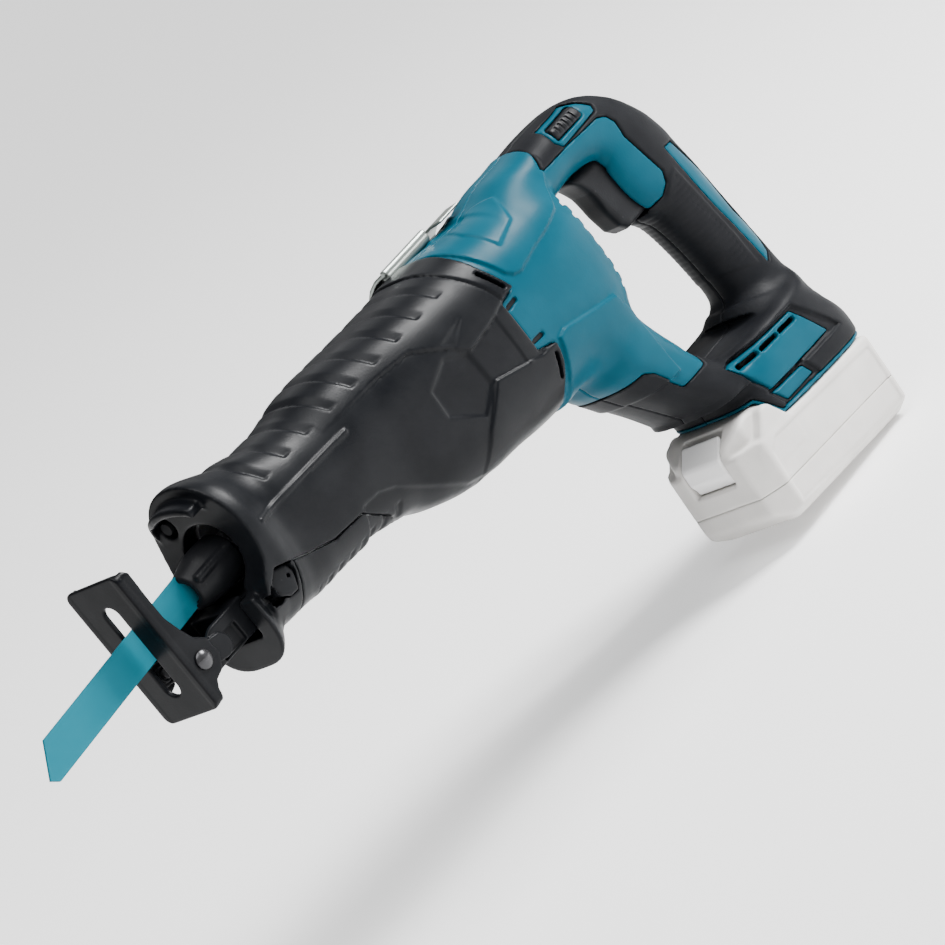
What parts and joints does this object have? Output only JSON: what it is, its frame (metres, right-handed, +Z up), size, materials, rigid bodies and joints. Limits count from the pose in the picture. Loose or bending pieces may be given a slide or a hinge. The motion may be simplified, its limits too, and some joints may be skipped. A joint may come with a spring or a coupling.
{
  "type": "reciprocating saw",
  "caption": "Cordless reciprocating saw with a D-handle, rubber-booted gear housing, pivoting shoe, twist blade clamp, blade and slide-on battery.",
  "frame": {"origin": "centre of the overall box's underside, below the middle of the tool's length at the level of the battery's lowest edge", "axes": "+X forward along the spindle towards the blade tip, +Y to the tool's left side, +Z up"},
  "size_m": [0.5382, 0.0802, 0.2515],
  "materials": {
    "teal_shell": "satin moulded plastic",
    "dark_grip": "soft matt elastomer",
    "boot_rubber": "satin moulded rubber",
    "black_plastic": "matt moulded plastic",
    "seal_rubber": "matt rubber",
    "cast_metal": "as-cast alloy",
    "steel": "machined steel",
    "dark_steel": "black coated steel",
    "bronze": "sintered bronze",
    "copper": "wound copper wire",
    "blade_coat": "satin coloured coating on steel",
    "lamp_lens": "clear",
    "battery_plastic": "matt moulded plastic",
    "battery_release": "matt moulded plastic",
    "cell_wrap": "wrapped cells"
  },
  "bodies": {
    "saw_body": {"housing_left": "teal_shell", "housing_right": "teal_shell", "grip_left": "dark_grip", "grip_right": "dark_grip", "boot": "boot_rubber", "lower_guard": "boot_rubber", "gear_housing": "cast_metal", "gear_housing_cover": "cast_metal", "led_lens": "lamp_lens", "crank_bearing": "steel", "front_bush": "bronze", "spindle_seal": "seal_rubber", "stator": "dark_steel", "stator_coil_front": "copper", "motor_bearing_front": "steel", "motor_bearing_rear": "steel", "controller": "black_plastic", "terminal_block": "black_plastic", "switch_block": "black_plastic", "hook_pin": "steel", "trigger_spring": "steel", "housing_screw_1": "steel", "housing_screw_2": "steel", "housing_screw_3": "steel", "housing_screw_4": "steel", "housing_screw_5": "steel", "housing_screw_6": "steel"},
    "crank_body": {"bevel_gear": "steel", "crank": "steel", "crank_roller": "steel"},
    "spindle_body": {"spindle": "steel", "clamp_pin": "steel", "blade": "blade_coat"},
    "clamp_body": {"clamp_sleeve": "black_plastic"},
    "motor_rotor": {"motor_shaft": "steel", "rotor": "dark_steel", "motor_fan": "black_plastic", "motor_pinion": "steel"},
    "shoe_bracket_body": {"shoe_bracket": "dark_steel", "shoe_rivet_left": "dark_steel", "shoe_rivet_right": "dark_steel"},
    "shoe_body": {"shoe_plate": "dark_steel"},
    "shoe_button_body": {"shoe_lock_button": "black_plastic"},
    "trigger_body": {"trigger": "dark_grip"},
    "lock_off_body": {"lock_off_slider": "black_plastic"},
    "hook_body": {"hook": "steel"},
    "battery_body": {"battery_case_lower": "battery_plastic", "battery_case_upper": "battery_plastic", "battery_cells": "cell_wrap"},
    "battery_button_body": {"battery_button": "battery_release"}
  },
  "joints": [
    {"name": "crank_spin", "type": "hinge", "parent": "saw_body", "child": "crank_body", "pos_m": [-0.0274, 0, 0.2082], "axis": [0, 0, 1], "range_deg": [0, 180]},
    {"name": "spindle_slide", "type": "slide", "parent": "saw_body", "child": "spindle_body", "axis": [1, 0, 0], "range_m": [-0.032, 0]},
    {"name": "rotor_spin", "type": "hinge", "parent": "saw_body", "child": "motor_rotor", "pos_m": [-0.1074, 0, 0.1777], "axis": [1, 0, 0], "range_deg": [-720, 0]},
    {"name": "clamp_twist", "type": "hinge", "parent": "spindle_body", "child": "clamp_body", "pos_m": [0.1326, 0, 0.2112], "axis": [1, 0, 0], "range_deg": [0, 60], "stiffness_Nm_per_rad": 0.05},
    {"name": "shoe_slide", "type": "slide", "parent": "saw_body", "child": "shoe_bracket_body", "axis": [1, 0, 0], "range_m": [0, 0.02]},
    {"name": "shoe_tilt", "type": "hinge", "parent": "shoe_bracket_body", "child": "shoe_body", "pos_m": [0.1781, 0, 0.1907], "axis": [0, 1, 0], "range_deg": [-12, 12]},
    {"name": "shoe_button_press", "type": "slide", "parent": "saw_body", "child": "shoe_button_body", "axis": [0, -1, 0], "range_m": [0, 0.003], "stiffness_N_per_m": 400},
    {"name": "trigger_pull", "type": "slide", "parent": "saw_body", "child": "trigger_body", "axis": [-1, 0, 0], "range_m": [0, 0.007], "stiffness_N_per_m": 900, "deforming": ["trigger_spring"]},
    {"name": "lock_off_push", "type": "slide", "parent": "saw_body", "child": "lock_off_body", "axis": [0, -1, 0], "range_m": [0, 0.004]},
    {"name": "hook_fold", "type": "hinge", "parent": "saw_body", "child": "hook_body", "pos_m": [-0.0984, -0.037, 0.2242], "axis": [1, 0, 0], "range_deg": [0, 100]},
    {"name": "battery_slide", "type": "slide", "parent": "saw_body", "child": "battery_body", "axis": [0.9973, 0, 0.0732], "range_m": [0, 0.1]},
    {"name": "battery_button_press", "type": "slide", "parent": "battery_body", "child": "battery_button_body", "axis": [-0.9973, 0, -0.0732], "range_m": [0, 0.003], "stiffness_N_per_m": 500}
  ],
  "couplings": [
    {"joint": "spindle_slide", "follows": "crank_spin", "m_per_rad": -0.010186},
    {"joint": "rotor_spin", "follows": "crank_spin", "ratio": -4}
  ]
}
